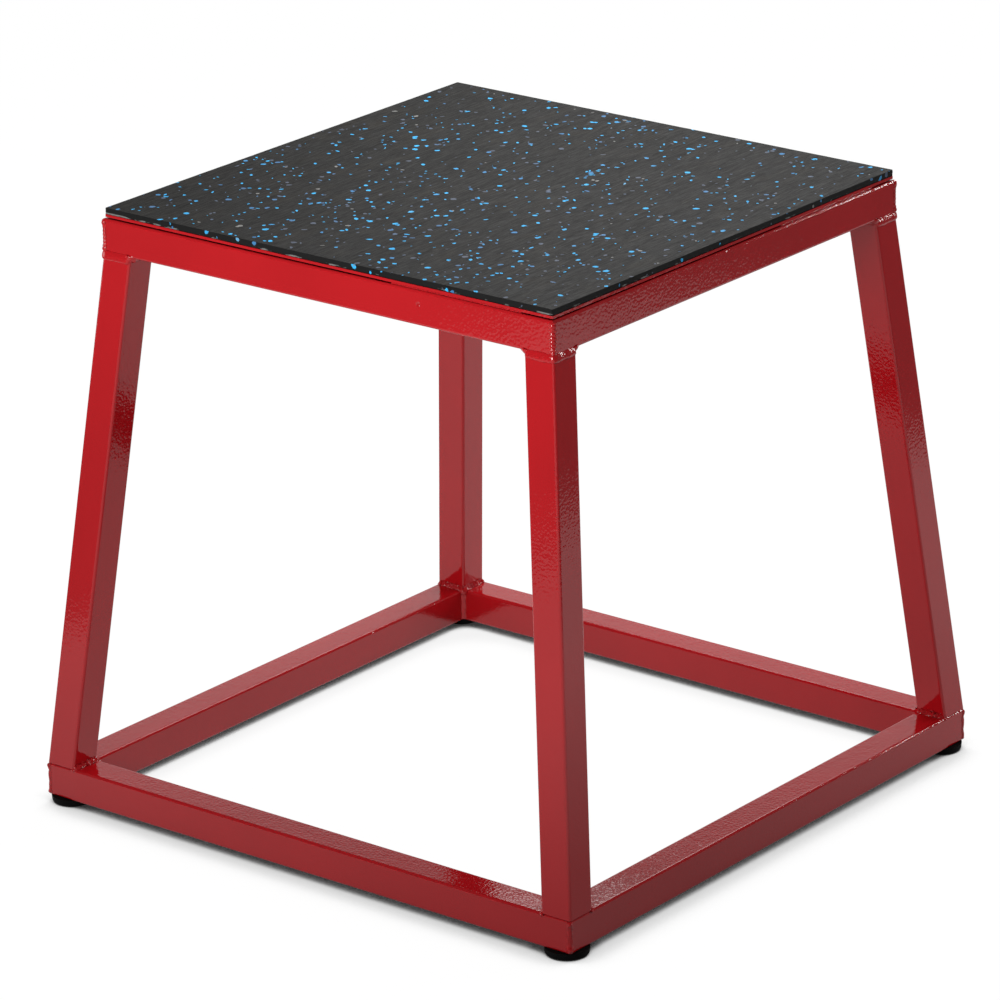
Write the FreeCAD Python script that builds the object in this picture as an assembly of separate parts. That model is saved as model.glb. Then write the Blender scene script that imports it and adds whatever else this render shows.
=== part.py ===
import FreeCAD, Part
import math
import os

# Welded steel plyometric box, in millimetres. The origin is on the floor under the middle of the box,
# +Z is up, +X runs to the right along the front and -Y is the front.

# Square tube that the whole frame is cut from: 1 in stock with its powder coat
TUBE_SIDE = 25.6
TUBE_WALL = 1.5
TUBE_EDGE_RADIUS = 2.0

# Outer sides of the two square rings, and the height from the floor to the top of the mat, 18 in
DECK_FRAME_SIDE = 409.0
BASE_FRAME_SIDE = 488.0
BOX_HEIGHT = 457.2

# Deck plate, held a little above the deck rails by a stitch weld near the right end of each rail,
# seen from outside, and by a tack on the brace
PLATE_THICKNESS = 2.0
PLATE_INSET = 1.5
PLATE_GAP = 1.0
PLATE_CORNER_RADIUS = 1.5
STITCH_LENGTH = 115.0
STITCH_END = 28.0
TACK_LENGTH = 30.0
TACK_WIDTH = 6.0

# Rubber mat and the film of adhesive under it
MAT_THICKNESS = 4.4
MAT_INSET = 1.8
MAT_CORNER_RADIUS = 1.0
ADHESIVE_THICKNESS = 0.3
ADHESIVE_INSET = 3.0

# Weld beads
CORNER_WELD_WIDTH = 3.0
CORNER_WELD_BULGE = 1.7
INNER_FILLET_LEG = 4.0
LEG_WELD_LEG = 5.0
LEG_WELD_BULGE = 0.6

# Levelling feet: rubber pad, flanged stud and the rivet nut that takes it
FOOT_DIAMETER = 32.5
FOOT_HEIGHT = 5.5
FOOT_TAPER = 0.5
FOOT_EDGE_RADIUS = 2.5
STUD_DIAMETER = 8.0
STUD_FLANGE_DIAMETER = 17.0
STUD_FLANGE_THICKNESS = 2.0
STUD_HEADROOM = 3.0
STUD_TIP_CHAMFER = 0.8
THREAD_CLEARANCE = 0.05
POCKET_CLEARANCE = 0.2
NUT_WALL = 1.5
NUT_FLANGE_WIDTH = 2.5
NUT_FLANGE_THICKNESS = 1.0
NUT_COLLAR_WIDTH = 1.2
NUT_COLLAR_HEIGHT = 3.0
NUT_HEADROOM = 7.0

# Heights that follow from the sizes above
BASE_BOTTOM = FOOT_HEIGHT
BASE_TOP = BASE_BOTTOM + TUBE_SIDE
MAT_BOTTOM = BOX_HEIGHT - MAT_THICKNESS
PLATE_TOP = MAT_BOTTOM - ADHESIVE_THICKNESS
PLATE_BOTTOM = PLATE_TOP - PLATE_THICKNESS
DECK_RAIL_TOP = PLATE_BOTTOM - PLATE_GAP
DECK_RAIL_BOTTOM = DECK_RAIL_TOP - TUBE_SIDE
NUT_FLANGE_BOTTOM = BASE_BOTTOM - NUT_FLANGE_THICKNESS
STUD_FLANGE_BOTTOM = NUT_FLANGE_BOTTOM - STUD_FLANGE_THICKNESS

# Radii of the rivet nut that follow from the stud
NUT_RADIUS = STUD_DIAMETER / 2 + THREAD_CLEARANCE + NUT_WALL
NUT_FLANGE_RADIUS = NUT_RADIUS + NUT_FLANGE_WIDTH

# Quarter turns about Z take the front rail to the other sides and the front right corner to the others
SIDES = ("front", "right", "back", "left")
CORNERS = ("front_right", "back_right", "back_left", "front_left")

ORIGIN = FreeCAD.Vector(0, 0, 0)
Z_AXIS = FreeCAD.Vector(0, 0, 1)


def turned(shape, quarters):
    """Copy of a shape, turned about Z by a number of quarter turns."""
    copy = shape.copy()
    copy.rotate(ORIGIN, Z_AXIS, 90 * quarters)
    return copy


def prism(points, z_low, z_high):
    """Upright prism on a polygon of (x, y) points."""
    corners = [FreeCAD.Vector(x, y, z_low) for x, y in points]
    wire = Part.makePolygon(corners + corners[:1])
    return Part.Face(wire).extrude(FreeCAD.Vector(0, 0, z_high - z_low))


def rectangle_points(x_low, x_high, y_low, y_high):
    """Corners of a rectangle, anticlockwise from its lowest corner."""
    return [(x_low, y_low), (x_high, y_low), (x_high, y_high), (x_low, y_high)]


def rounded_square(side, radius):
    """Square face in the XY plane about the origin, with rounded corners."""
    half = side / 2
    flat = half - radius
    arc_middle = flat + radius * math.sqrt(0.5)
    edges = []
    for quarter in range(4):
        turn = FreeCAD.Rotation(Z_AXIS, 90 * quarter)
        start = turn.multVec(FreeCAD.Vector(half, -flat, 0))
        end = turn.multVec(FreeCAD.Vector(half, flat, 0))
        middle = turn.multVec(FreeCAD.Vector(arc_middle, arc_middle, 0))
        after = turn.multVec(FreeCAD.Vector(flat, half, 0))
        edges.append(Part.makeLine(start, end))
        edges.append(Part.Arc(end, middle, after).toShape())
    return Part.Face(Part.Wire(edges))


def sheet(side, radius, z_low, thickness):
    """Square sheet with rounded corners, lying flat about the Z axis."""
    face = rounded_square(side, radius)
    face.translate(FreeCAD.Vector(0, 0, z_low))
    return face.extrude(FreeCAD.Vector(0, 0, thickness))


def tube(length, hollow):
    """Square tube standing on the XY plane about the Z axis, or the solid bar of its outside."""
    section = rounded_square(TUBE_SIDE, TUBE_EDGE_RADIUS)
    if hollow:
        inner_radius = max(TUBE_EDGE_RADIUS - TUBE_WALL, TUBE_WALL / 4)
        section = section.cut(rounded_square(TUBE_SIDE - 2 * TUBE_WALL, inner_radius))
    return section.extrude(FreeCAD.Vector(0, 0, length))


def flat_heights(rail_bottom):
    """Lowest and highest point of the flat upright faces of a rail."""
    return rail_bottom + TUBE_EDGE_RADIUS, rail_bottom + TUBE_SIDE - TUBE_EDGE_RADIUS


def corner_groove(frame_side, rail_bottom):
    """Chamfer along the upright edge of the front right corner, which the weld bead fills."""
    half = frame_side / 2
    points = [(half - CORNER_WELD_WIDTH, -half), (half, -half), (half, -half + CORNER_WELD_WIDTH)]
    return prism(points, *flat_heights(rail_bottom))


def front_rail(frame_side, rail_bottom, hollow=True):
    """Front tube of a square ring, mitred at both ends, with a weld groove along each outer corner."""
    half = frame_side / 2
    bar = tube(frame_side, hollow)
    bar.translate(FreeCAD.Vector(0, 0, -half))
    bar.rotate(ORIGIN, FreeCAD.Vector(0, 1, 0), 90)
    bar.translate(FreeCAD.Vector(0, TUBE_SIDE / 2 - half, rail_bottom + TUBE_SIDE / 2))
    mitre = prism([(-half, -half), (half, -half), (0, 0)], rail_bottom, rail_bottom + TUBE_SIDE)
    groove = corner_groove(frame_side, rail_bottom)
    return bar.common(mitre).cut([groove, turned(groove, 3)])


def foot_centre():
    """Middle of the front right corner of the base frame, where its foot screws in."""
    offset = (BASE_FRAME_SIDE - TUBE_SIDE) / 2
    return FreeCAD.Vector(offset, -offset, 0)


def at_foot(shape):
    """Shape modelled about the Z axis, moved to the front right foot."""
    shape.translate(foot_centre())
    return shape


def revolved(points):
    """Body of revolution about Z from a closed outline of (radius, height) points."""
    corners = [FreeCAD.Vector(radius, 0, height) for radius, height in points]
    outline = Part.Face(Part.makePolygon(corners + corners[:1]))
    return outline.revolve(ORIGIN, Z_AXIS, 360)


def rivet_nut():
    """Threaded insert set in the lower wall of the base corner: flange, body and swaged collar."""
    bore = STUD_DIAMETER / 2 + THREAD_CLEARANCE
    wall_top = BASE_BOTTOM + TUBE_WALL
    collar_radius = NUT_RADIUS + NUT_COLLAR_WIDTH
    collar_top = wall_top + NUT_COLLAR_HEIGHT
    top = BASE_TOP - TUBE_WALL - NUT_HEADROOM
    return at_foot(revolved([
        (bore, NUT_FLANGE_BOTTOM), (NUT_FLANGE_RADIUS, NUT_FLANGE_BOTTOM),
        (NUT_FLANGE_RADIUS, BASE_BOTTOM), (NUT_RADIUS, BASE_BOTTOM), (NUT_RADIUS, wall_top),
        (collar_radius, wall_top), (collar_radius, collar_top), (NUT_RADIUS, collar_top),
        (NUT_RADIUS, top), (bore, top)]))


def nut_hole():
    """Hole for the rivet nut through the lower wall of the base corner."""
    hole = Part.makeCylinder(NUT_RADIUS, TUBE_WALL, FreeCAD.Vector(0, 0, BASE_BOTTOM))
    return at_foot(hole)


def foot_stud():
    """Threaded stud with the flange that the pad is moulded round."""
    radius = STUD_DIAMETER / 2
    flange_radius = STUD_FLANGE_DIAMETER / 2
    tip = BASE_TOP - TUBE_WALL - STUD_HEADROOM
    return at_foot(revolved([
        (0, STUD_FLANGE_BOTTOM), (flange_radius, STUD_FLANGE_BOTTOM), (flange_radius, NUT_FLANGE_BOTTOM),
        (radius, NUT_FLANGE_BOTTOM), (radius, tip - STUD_TIP_CHAMFER), (radius - STUD_TIP_CHAMFER, tip),
        (0, tip)]))


def foot_pad():
    """Rubber disc, a little narrower at the floor, with a pocket for the stud's and the nut's flanges."""
    disc = Part.makeCone(FOOT_DIAMETER / 2 - FOOT_TAPER, FOOT_DIAMETER / 2, FOOT_HEIGHT)
    lower_edge = [edge for edge in disc.Edges if edge.BoundBox.ZMax < FOOT_HEIGHT / 2]
    disc = disc.makeFillet(FOOT_EDGE_RADIUS, lower_edge)
    pocket_radius = max(STUD_FLANGE_DIAMETER / 2, NUT_FLANGE_RADIUS) + POCKET_CLEARANCE
    pocket = Part.makeCylinder(pocket_radius, FOOT_HEIGHT, FreeCAD.Vector(0, 0, STUD_FLANGE_BOTTOM))
    return at_foot(disc.cut(pocket))


def leg_corner(height):
    """Half the side of the square on which the legs' outer edges lie at a height."""
    share = (height - BASE_TOP) / (DECK_RAIL_BOTTOM - BASE_TOP)
    return (BASE_FRAME_SIDE + share * (DECK_FRAME_SIDE - BASE_FRAME_SIDE)) / 2


def front_right_leg(hollow=True):
    """Splayed leg, its outer edge in line with the frames' corners and its ends cut level."""
    foot = FreeCAD.Vector(leg_corner(BASE_TOP), -leg_corner(BASE_TOP), BASE_TOP)
    head = FreeCAD.Vector(leg_corner(DECK_RAIL_BOTTOM), -leg_corner(DECK_RAIL_BOTTOM), DECK_RAIL_BOTTOM)
    along = (head - foot).normalize()
    # the two outer faces look outwards alike, so the tube is turned evenly between the X and Y sides
    sideways = Z_AXIS.cross(along).normalize()
    outwards = sideways.cross(along).normalize()
    if outwards.dot(FreeCAD.Vector(1, -1, 0)) < 0:
        outwards = outwards.negative()
        sideways = sideways.negative()
    face_a = (outwards + sideways).normalize()
    face_b = along.cross(face_a)
    axes = FreeCAD.Matrix(face_a.x, face_b.x, along.x, 0, face_a.y, face_b.y, along.y, 0,
                          face_a.z, face_b.z, along.z, 0, 0, 0, 0, 1)
    spare = TUBE_SIDE
    bar = tube((head - foot).Length + 2 * spare, hollow)
    bar.Placement = FreeCAD.Placement(axes)
    outer_edge = outwards * (TUBE_SIDE * math.sqrt(0.5))
    bar.translate(foot - along * spare - outer_edge)
    reach = BASE_FRAME_SIDE + DECK_FRAME_SIDE
    level = prism(rectangle_points(-reach, reach, -reach, reach), BASE_TOP, DECK_RAIL_BOTTOM)
    return bar.common(level)


def corner_weld(frame_side, rail_bottom):
    """Bead along the outer mitre of the front right corner and fillet in the corner's inside."""
    half = frame_side / 2
    z_low, z_high = flat_heights(rail_bottom)
    middle = CORNER_WELD_WIDTH / 2 - CORNER_WELD_BULGE * math.sqrt(0.5)
    start = FreeCAD.Vector(half - CORNER_WELD_WIDTH, -half, z_low)
    crown = FreeCAD.Vector(half - middle, middle - half, z_low)
    end = FreeCAD.Vector(half, CORNER_WELD_WIDTH - half, z_low)
    outline = Part.Wire([Part.Arc(start, crown, end).toShape(), Part.makeLine(end, start)])
    bead = Part.Face(outline).extrude(FreeCAD.Vector(0, 0, z_high - z_low))
    inner = half - TUBE_SIDE
    fillet = prism([(inner, -inner), (inner, INNER_FILLET_LEG - inner), (inner - INNER_FILLET_LEG, -inner)],
                   z_low, z_high)
    return Part.makeCompound([bead, fillet])


def collar_points(height, inner, outer):
    """Outline round the front right leg at a height, with a margin on its inner and outer sides."""
    corner = leg_corner(height)
    return rectangle_points(corner - TUBE_SIDE - inner, corner + outer,
                            -corner - outer, TUBE_SIDE - corner + inner)


def outline_wire(points, height):
    """Closed polygon of (x, y) points at a height."""
    corners = [FreeCAD.Vector(x, y, height) for x, y in points]
    return Part.makePolygon(corners + corners[:1])


def leg_weld(joint_height, along_leg, frame_side, rail_bottom):
    """Bead round one end of the front right leg: fillets on its inner sides, filled seams outside.

    along_leg is 1 where the leg goes up from the joint and -1 where it goes down.
    """
    toe = joint_height + along_leg * LEG_WELD_LEG
    seam = joint_height - along_leg * TUBE_EDGE_RADIUS
    joint_points = collar_points(joint_height, LEG_WELD_LEG, LEG_WELD_BULGE)
    slope = Part.makeLoft([outline_wire(collar_points(toe, 0, 0), toe),
                           outline_wire(joint_points, joint_height)], True, True)
    fill = prism(joint_points, min(seam, joint_height), max(seam, joint_height))
    rail = front_rail(frame_side, rail_bottom, hollow=False)
    inner = frame_side / 2 - TUBE_SIDE
    opening = prism(rectangle_points(-inner, inner, -inner, inner), rail_bottom - TUBE_SIDE,
                    rail_bottom + 2 * TUBE_SIDE)
    groove = corner_groove(frame_side, rail_bottom)
    collar = slope.fuse(fill).cut([front_right_leg(hollow=False), rail, turned(rail, 1), groove, opening])
    return collar.removeSplitter()


def brace():
    """Cross tube under the middle of the plate, from the front deck rail to the back one."""
    length = DECK_FRAME_SIDE - 2 * TUBE_SIDE
    bar = tube(length, True)
    bar.translate(FreeCAD.Vector(0, 0, -length / 2))
    bar.rotate(ORIGIN, FreeCAD.Vector(1, 0, 0), 90)
    bar.translate(FreeCAD.Vector(0, 0, DECK_RAIL_BOTTOM + TUBE_SIDE / 2))
    return bar


def brace_welds():
    """Upright fillets on both sides of the brace where its ends meet the front and back rails."""
    side = TUBE_SIDE / 2
    end = TUBE_SIDE - DECK_FRAME_SIDE / 2
    right = prism([(side, end), (side + INNER_FILLET_LEG, end), (side, end + INNER_FILLET_LEG)],
                  *flat_heights(DECK_RAIL_BOTTOM))
    left = prism([(-side, end), (-side, end + INNER_FILLET_LEG), (-side - INNER_FILLET_LEG, end)],
                 *flat_heights(DECK_RAIL_BOTTOM))
    return Part.makeCompound([right, left, turned(right, 2), turned(left, 2)])


def tack(x_low, x_high, y_low):
    """Weld that fills the gap between a tube's top and the plate."""
    points = rectangle_points(x_low, x_high, y_low, y_low + TACK_WIDTH)
    return prism(points, DECK_RAIL_TOP, PLATE_BOTTOM)


def tack_welds():
    """A stitch along the outer edge of each deck rail, and a tack across the middle of the brace."""
    half = DECK_FRAME_SIDE / 2
    x_high = half - STITCH_END
    stitch = tack(x_high - STITCH_LENGTH, x_high, TUBE_EDGE_RADIUS - half)
    middle = turned(tack(-TACK_LENGTH / 2, TACK_LENGTH / 2, -TACK_WIDTH / 2), 1)
    return Part.makeCompound([turned(stitch, quarter) for quarter in range(4)] + [middle])


def build():
    """All pieces of the box, by name."""
    mat_side = DECK_FRAME_SIDE - 2 * MAT_INSET
    film_side = mat_side - 2 * ADHESIVE_INSET
    plate_side = DECK_FRAME_SIDE - 2 * PLATE_INSET
    pieces = {
        "rubber_mat": sheet(mat_side, MAT_CORNER_RADIUS, MAT_BOTTOM, MAT_THICKNESS),
        "mat_adhesive": sheet(film_side, MAT_CORNER_RADIUS, PLATE_TOP, ADHESIVE_THICKNESS),
        "deck_plate": sheet(plate_side, PLATE_CORNER_RADIUS, PLATE_BOTTOM, PLATE_THICKNESS),
        "deck_tack_welds": tack_welds(),
        "deck_brace": brace(),
        "brace_welds": brace_welds(),
        "foot_rivet_nuts": Part.makeCompound([turned(rivet_nut(), quarter) for quarter in range(4)]),
    }
    deck_rail = front_rail(DECK_FRAME_SIDE, DECK_RAIL_BOTTOM)
    base_rail = front_rail(BASE_FRAME_SIDE, BASE_BOTTOM).cut([nut_hole(), turned(nut_hole(), 3)])
    for quarter, side in enumerate(SIDES):
        pieces["deck_rail_" + side] = turned(deck_rail, quarter)
        pieces["base_rail_" + side] = turned(base_rail, quarter)
    at_corner = {
        "leg_": front_right_leg(),
        "deck_corner_weld_": corner_weld(DECK_FRAME_SIDE, DECK_RAIL_BOTTOM),
        "base_corner_weld_": corner_weld(BASE_FRAME_SIDE, BASE_BOTTOM),
        "leg_top_weld_": leg_weld(DECK_RAIL_BOTTOM, -1, DECK_FRAME_SIDE, DECK_RAIL_BOTTOM),
        "leg_base_weld_": leg_weld(BASE_TOP, 1, BASE_FRAME_SIDE, BASE_BOTTOM),
        "foot_pad_": foot_pad(),
        "foot_stud_": foot_stud(),
    }
    for quarter, corner in enumerate(CORNERS):
        for stem, shape in at_corner.items():
            pieces[stem + corner] = turned(shape, quarter)
    return pieces


os.makedirs("parts", exist_ok=True)
for name, shape in build().items():
    shape.exportStep("parts/" + name + ".step")
    print(name, "solids", len(shape.Solids), "valid", shape.isValid(), "volume", round(shape.Volume, 1))
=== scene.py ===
import math
import random

import bpy
from mathutils import Matrix, Vector


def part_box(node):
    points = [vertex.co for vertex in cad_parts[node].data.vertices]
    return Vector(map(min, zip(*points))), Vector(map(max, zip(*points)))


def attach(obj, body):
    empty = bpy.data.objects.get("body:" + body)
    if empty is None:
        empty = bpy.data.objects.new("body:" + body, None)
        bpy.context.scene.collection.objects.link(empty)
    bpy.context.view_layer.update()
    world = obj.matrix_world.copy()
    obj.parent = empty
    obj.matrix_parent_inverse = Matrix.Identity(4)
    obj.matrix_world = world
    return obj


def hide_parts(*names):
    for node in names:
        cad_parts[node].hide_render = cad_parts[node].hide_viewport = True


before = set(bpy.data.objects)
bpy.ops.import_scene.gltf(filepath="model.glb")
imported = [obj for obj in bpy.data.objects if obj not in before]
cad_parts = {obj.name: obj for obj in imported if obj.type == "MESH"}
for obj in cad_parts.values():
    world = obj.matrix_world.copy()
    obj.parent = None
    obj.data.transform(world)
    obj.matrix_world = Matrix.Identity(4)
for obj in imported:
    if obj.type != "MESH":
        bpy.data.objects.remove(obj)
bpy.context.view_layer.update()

# Welded plyo box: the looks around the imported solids, in metres, +Z up, -Y to the front.
MM = 0.001
QUARTERS = ("front_right", "back_right", "back_left", "front_left")

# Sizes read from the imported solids
deck_low, deck_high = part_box("deck_rail_front")
base_low, base_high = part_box("base_rail_front")
mat_low, mat_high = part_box("rubber_mat")
brace_low, brace_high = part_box("deck_brace")
TUBE = deck_high.z - deck_low.z
DECK_HALF = deck_high.x
BASE_HALF = base_high.x

# Corner beads: depth of the ripples on the deck's corners in the order of QUARTERS, how deep a bead's middle
# lies inside the corner, how far it stays from the tube's edges, and its rise in mm
CORNER_RIPPLES = (0.5, 0.2, 0.35, 0.2)
CORNER_SINK = 1.5 * MM
CORNER_END_ROOM = 0.6 * MM
CORNER_RISE = 1.75

# Fillets in inner corners and on the brace: half their width and their rise in mm
CORNER_FILLET = (3.3, 2.2)
BRACE_FILLET = (3.2, 2.2)

# Stitches under the plate: where they end before the corner, how far back their middle and start are, how far
# inside the rail's face they lie, and half their width and their rise; the same for the tack on the brace,
# with half its length
STITCH_END = 28 * MM
STITCH_MIDDLE, STITCH_LENGTH = 60 * MM, 115 * MM
STITCH_INSET = 2.6 * MM
STITCH_SIZE = (0.75 * MM, 1.25 * MM)
TACK_HALF = 15 * MM
TACK_SIZE = (3.0 * MM, 0.55 * MM)

# Powder coat: lowest and highest roughness and strength of the orange peel, on tubes and on welds, depth of
# the peel, how far into a joint painted shade darkens the coat, and the middle of the small crater in the
# front deck rail, which painted shade darkens
COAT_GLOSS, COAT_PEEL = (0.045, 0.08), 0.56
WELD_GLOSS, WELD_PEEL = (0.09, 0.15), 0.6
PEEL_DEPTH = 0.12 * MM
PAINTED_SHADE_REACH = 2.8 * MM
PIT_PLACE = (0.087, -DECK_HALF, deck_low.z + 0.0155)

# Photo's view: turn, rise and roll of the camera in degrees, what it looks at and from how far
VIEW_TURN, VIEW_RISE, VIEW_ROLL = 38.465, 19.9044, -0.8705
VIEW_TARGET = Vector((-0.00611, 0.0, 0.21655))
VIEW_DISTANCE = 4.22570
VIEW_LENS = 206.40
VIEW_ACROSS = Vector((math.cos(math.radians(VIEW_TURN)), math.sin(math.radians(VIEW_TURN)), 0))
VIEW_AWAY = Vector((-VIEW_ACROSS.y, VIEW_ACROSS.x, 0))

# Studio paper under and behind the box: its left edge in X and its right edge across the view, how soft
# they are, how dark the room on each side and above is, the middle of the box's soft shadow on it, and how
# far from there that shadow starts and ends to fade, half the floor's side and its level, and the strength of
# the soft light from all round
PAPER_LEFT, PAPER_RIGHT, PAPER_EDGE = -0.64, 1.40, 0.03
STUDIO_LEFT, STUDIO_RIGHT, STUDIO_ROOM = 0.26, 0.21, 0.16
SHADOW_MIDDLE = (0.33, -0.15, 0.0)
SHADOW_CORE, SHADOW_REACH = 0.1, 0.75
FLOOR_HALF = 15.0
FLOOR_LEVEL = -0.1 * MM
SOFT_LIGHT = 0.20

# Soft lights: name, place, what it points at, width, height, watts, and spread in degrees through its grid
SOFTBOXES = (
    ("key", (0.05, -1.56, 0.625), (0.02, -0.195, 0.645), 0.6, 0.36, 2.9, 73.0),
    ("low", (-1.7, -0.9, 0.35), (-0.2, -0.2, 0.1), 0.6, 0.6, 3.4, 180.0),
    ("back", (-0.44, 0.93, 1.07), (-0.23, 0.23, 0.03), 0.8, 0.8, 6.4, 180.0),
    ("top", (-0.1, 0.1, 1.17), (-0.02, 0.02, 0.45), 0.3, 0.3, 1.4, 110.0),
)

# Strip lights on a cone about Y: what they point at, how far off, half the cone's angle and their places
# round it in degrees, length, width and watts
STRIP_AIM = Vector((0, 0, 0.3))
STRIP_DISTANCE, STRIP_CONE, STRIP_ANGLES = 7.8, 36.4, (8, 30, 52)
STRIP_LENGTH, STRIP_WIDTH, STRIP_WATTS = 1.85, 0.33, 50.0

# Colours as linear light
COAT_RED = (0.56, 0.0075, 0.0125, 1)
COAT_DEEP_RED = (0.47, 0.0055, 0.0095, 1)
COAT_PAINTED_SHADE = (0.05, 0.0015, 0.002, 1)
RUBBER_GREY = (0.0205, 0.0198, 0.0186, 1)
RUBBER_DARK = (0.0065, 0.0062, 0.0057, 1)
RUBBER_WARM = (0.0235, 0.0205, 0.0165, 1)
CUT_BLACK = (0.0045, 0.0045, 0.0045, 1)
CUT_WORN = (0.0105, 0.0105, 0.0102, 1)
FLECK_BLUE = (0.045, 0.52, 1.0, 1)
FLECK_MID = (0.06, 0.24, 0.52, 1)
FLECK_DIM = (0.085, 0.105, 0.15, 1)
FLECK_GREY = (0.26, 0.26, 0.25, 1)
FOOT_BLACK = (0.0032, 0.0032, 0.0034, 1)
FOOT_BLOOM = (0.007, 0.007, 0.0072, 1)
ZINC = (0.60, 0.60, 0.57, 1)
ZINC_DULL = (0.42, 0.43, 0.40, 1)
GLUE_SMEAR = (0.24, 0.24, 0.23, 1)
GLUE_AMBER = (0.34, 0.24, 0.08, 1)
GLUE_DARK = (0.16, 0.11, 0.04, 1)


# Node trees

def socket_of(sockets, key):
    """Socket by number, or the first one in use with a name."""
    if isinstance(key, int):
        return sockets[key]
    return next(socket for socket in sockets if socket.name == key and socket.enabled)


def give(tree, socket, value):
    """Sets a socket to a value or links another node's socket to it."""
    if isinstance(value, bpy.types.NodeSocket):
        tree.links.new(value, socket)
    else:
        socket.default_value = value


def add(tree, kind, inputs=None, **settings):
    """New node; its inputs take values or other nodes' sockets."""
    made = tree.nodes.new(kind)
    for name, value in settings.items():
        setattr(made, name, value)
    for key, value in (inputs or {}).items():
        give(tree, socket_of(made.inputs, key), value)
    return made


def calc(tree, operation, first, second=0.0, clamp=False):
    """Result of a sum on one or two numbers."""
    return add(tree, "ShaderNodeMath", {0: first, 1: second}, operation=operation, use_clamp=clamp).outputs[0]


def vector_calc(tree, operation, first, second=(0, 0, 0)):
    """Resulting vector of a sum on one or two vectors."""
    return add(tree, "ShaderNodeVectorMath", {0: first, 1: second}, operation=operation).outputs["Vector"]


def scaled(tree, vector, factor):
    """Vector times a number."""
    made = add(tree, "ShaderNodeVectorMath", {0: vector, "Scale": factor}, operation="SCALE")
    return made.outputs["Vector"]


def remap(tree, value, low, high, to_low, to_high, smooth=True):
    """Value taken from one range to another and held within it."""
    kind = "SMOOTHSTEP" if smooth else "LINEAR"
    made = add(tree, "ShaderNodeMapRange", {"Value": value, "From Min": low, "From Max": high,
                                            "To Min": to_low, "To Max": to_high}, interpolation_type=kind)
    return made.outputs["Result"]


def blend_colours(tree, share, first, second):
    """Colour between two."""
    made = add(tree, "ShaderNodeMix", {"Factor": share, "A": first, "B": second}, data_type="RGBA")
    return socket_of(made.outputs, "Result")


def noise(tree, place, scale, detail=2.0, rough=0.5, seed=0.0):
    """Smooth noise from 0 to 1."""
    made = add(tree, "ShaderNodeTexNoise", {"Vector": place, "W": seed, "Scale": scale, "Detail": detail,
                                            "Roughness": rough}, noise_dimensions="4D")
    return made.outputs[0]


def stretched(tree, place, scale):
    """Coordinates stretched along the axes."""
    return add(tree, "ShaderNodeMapping", {"Vector": place, "Scale": scale}).outputs["Vector"]


def relief(tree, height, strength, distance):
    """Bumped normal from a height."""
    made = add(tree, "ShaderNodeBump", {"Height": height, "Strength": strength, "Distance": distance})
    return made.outputs["Normal"]


# Materials

def new_material(name):
    """Empty node material, its shader and its object coordinates."""
    material = bpy.data.materials.new(name)
    material.use_nodes = True
    tree = material.node_tree
    tree.nodes.clear()
    shader = add(tree, "ShaderNodeBsdfPrincipled")
    add(tree, "ShaderNodeOutputMaterial", {"Surface": shader.outputs["BSDF"]})
    place = add(tree, "ShaderNodeTexCoord").outputs["Object"]
    return material, tree, shader, place


def finish_material(tree, shader, values):
    """Sets a shader's inputs to values or other nodes' sockets."""
    for name, value in values.items():
        give(tree, shader.inputs[name], value)


def red_coat(name, gloss, peel, pit=None):
    """Glossy red powder coat with orange peel, with painted shade darkening its joints; a pit is the middle
    of a small crater in it, darkened by painted shade. gloss is its lowest and highest roughness, peel the
    strength of its orange peel."""
    material, tree, shader, place = new_material(name)
    drift = noise(tree, place, 9.0, 3.0)
    fine = noise(tree, place, 520.0, 0.0)
    wave = noise(tree, place, 130.0, 1.0, 0.5, 4.0)
    speck = noise(tree, place, 1900.0, 0.0, 0.5, 9.0)
    tone = calc(tree, "ADD", remap(tree, drift, 0.35, 0.65, 0.0, 0.45),
                remap(tree, speck, 0.74, 0.80, 0.0, 0.5))
    height = calc(tree, "ADD", fine, calc(tree, "MULTIPLY", wave, 0.6))
    if pit is not None:
        away = add(tree, "ShaderNodeVectorMath", {0: place, 1: pit}, operation="DISTANCE").outputs["Value"]
        # the crater is bumped in, and painted shade darkens its colour towards its middle
        dent_and_shade = remap(tree, away, 0.6 * MM, 2.3 * MM, 1.0, 0.0)
        tone = calc(tree, "ADD", tone, calc(tree, "MULTIPLY", dent_and_shade, 1.6))
        height = calc(tree, "SUBTRACT", height, calc(tree, "MULTIPLY", dent_and_shade, 5.0))
    colour = blend_colours(tree, calc(tree, "MINIMUM", tone, 1.9), COAT_RED, COAT_DEEP_RED)
    # painted shade: the colour turns dark where the surface is closed in, in joints, gaps and weld toes
    open_share = add(tree, "ShaderNodeAmbientOcclusion", {"Distance": PAINTED_SHADE_REACH}, samples=8).outputs["AO"]
    painted_shade = remap(tree, open_share, 0.3, 0.75, 0.9, 0.0)
    colour = blend_colours(tree, painted_shade, colour, COAT_PAINTED_SHADE)
    finish_material(tree, shader, {
        "Base Color": colour,
        "Roughness": remap(tree, noise(tree, place, 45.0, 4.0), 0.3, 0.7, *gloss),
        "IOR": 1.42,
        "Normal": relief(tree, height, peel, PEEL_DEPTH),
    })
    return material


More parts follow.
